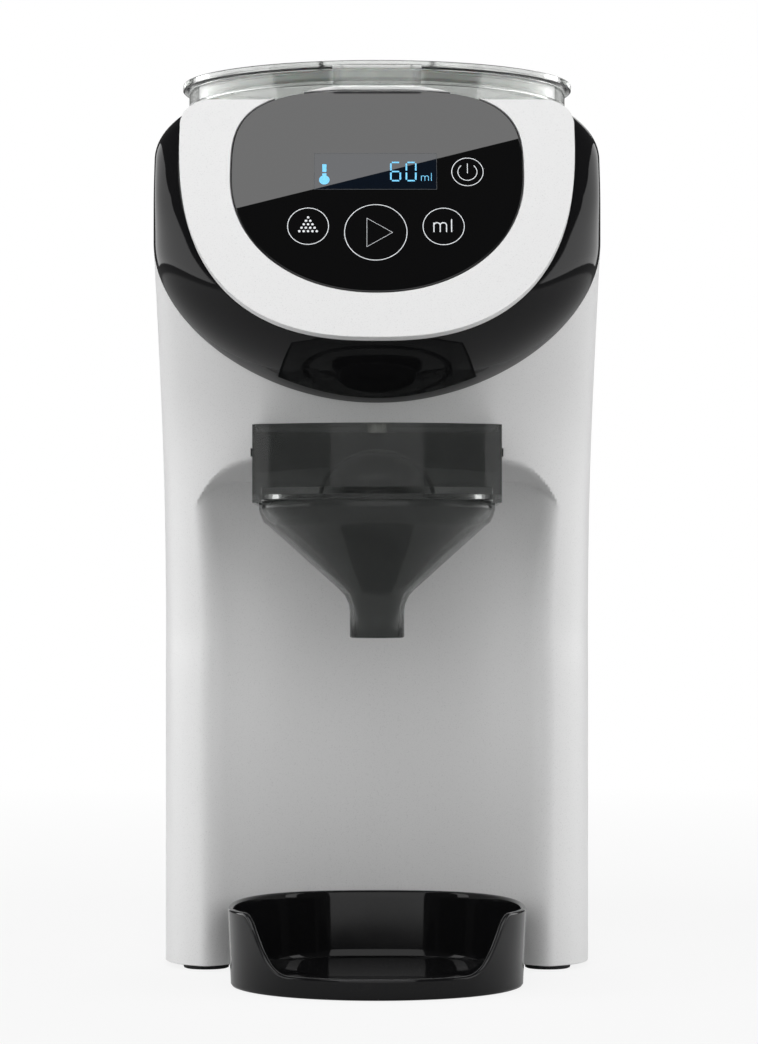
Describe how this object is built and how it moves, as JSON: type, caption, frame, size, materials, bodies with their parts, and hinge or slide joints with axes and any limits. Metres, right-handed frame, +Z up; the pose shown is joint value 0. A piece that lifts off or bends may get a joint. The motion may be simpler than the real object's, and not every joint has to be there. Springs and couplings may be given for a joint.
{
  "type": "baby formula maker",
  "caption": "Counter-top baby formula maker: white housing with a bottle alcove, slanted touch panel, powder container, funnel, bottle tray and rear water tank.",
  "frame": {"origin": "centre of the bounding box at the height of the table that the machine stands on", "axes": "+X to the machine's right as seen by the user, +Y from the user to the back, +Z up"},
  "size_m": [0.1508, 0.3, 0.3122],
  "materials": {
    "white_plastic": "satin, faintly speckled",
    "black_gloss": "gloss",
    "panel_black": "mirror gloss",
    "satin_black": "satin",
    "clear_plastic": "clear",
    "smoke_plastic": "smoked clear",
    "rubber": "matt",
    "silicone": "matt, translucent",
    "steel": "brushed",
    "alloy": "cast",
    "nylon": "matt",
    "circuit_board": "matt"
  },
  "bodies": {
    "housing": {"body_shell": "white_plastic", "rear_housing": "white_plastic", "top_deck": "white_plastic", "face_plate": "white_plastic", "trim_band": "black_gloss", "panel_lens": "panel_black", "touch_board": "circuit_board", "display_module": "satin_black", "base_plate": "satin_black", "foot_front_left": "rubber", "foot_front_right": "rubber", "foot_rear_left": "rubber", "foot_rear_right": "rubber", "power_supply": "circuit_board", "control_board": "circuit_board", "cord_gland": "rubber", "water_pump": "satin_black", "heater_block": "alloy", "tank_socket": "silicone", "inlet_hose": "silicone", "heater_hose": "silicone", "nozzle_hose": "silicone", "water_nozzle": "nylon", "gear_bracket": "steel", "motor": "steel"},
    "drive": {"drive_gear": "nylon", "drive_shaft": "steel"},
    "rotor": {"motor_pinion": "steel"},
    "container": {"container_bowl": "clear_plastic", "powder_scraper": "nylon", "lid_hinge_pin": "steel"},
    "dosing": {"dosing_wheel": "nylon", "stirrer": "nylon"},
    "lid": {"lid_cover": "clear_plastic", "lid_seal": "silicone"},
    "funnel": {"funnel_cone": "smoke_plastic", "funnel_cover": "smoke_plastic"},
    "tray": {"bottle_tray": "black_gloss"},
    "tank": {"water_tank": "smoke_plastic", "tank_valve": "nylon", "tank_hinge_pin": "steel"},
    "tank_cap": {"tank_lid": "smoke_plastic"}
  },
  "joints": [
    {"name": "gear_spin", "type": "hinge", "parent": "housing", "child": "drive", "pos_m": [0, -0.026, 0.188], "axis": [0, 0, 1], "continuous": true},
    {"name": "pinion_spin", "type": "hinge", "parent": "housing", "child": "rotor", "pos_m": [0, 0.004, 0.188], "axis": [0, 0, 1], "continuous": true},
    {"name": "container_lift", "type": "slide", "parent": "housing", "child": "container", "axis": [0, 0, 1], "range_m": [0, 0.105]},
    {"name": "wheel_spin", "type": "hinge", "parent": "container", "child": "dosing", "pos_m": [0, -0.026, 0.21], "axis": [0, 0, 1], "continuous": true},
    {"name": "lid_hinge", "type": "hinge", "parent": "container", "child": "lid", "pos_m": [0, 0.046, 0.303], "axis": [-1, 0, 0], "range_deg": [0, 100]},
    {"name": "funnel_slide", "type": "slide", "parent": "housing", "child": "funnel", "axis": [0, -1, 0], "range_m": [0, 0.09]},
    {"name": "tray_slide", "type": "slide", "parent": "housing", "child": "tray", "axis": [0, -1, 0], "range_m": [0, 0.06]},
    {"name": "tank_lift", "type": "slide", "parent": "housing", "child": "tank", "axis": [0, 0, 1], "range_m": [0, 0.17]},
    {"name": "tank_lid_hinge", "type": "hinge", "parent": "tank", "child": "tank_cap", "pos_m": [0, 0.1476, 0.2939], "axis": [-1, 0, 0], "range_deg": [0, 100]}
  ],
  "couplings": [
    {"joint": "gear_spin", "follows": "wheel_spin", "ratio": 1},
    {"joint": "pinion_spin", "follows": "wheel_spin", "ratio": -3}
  ]
}
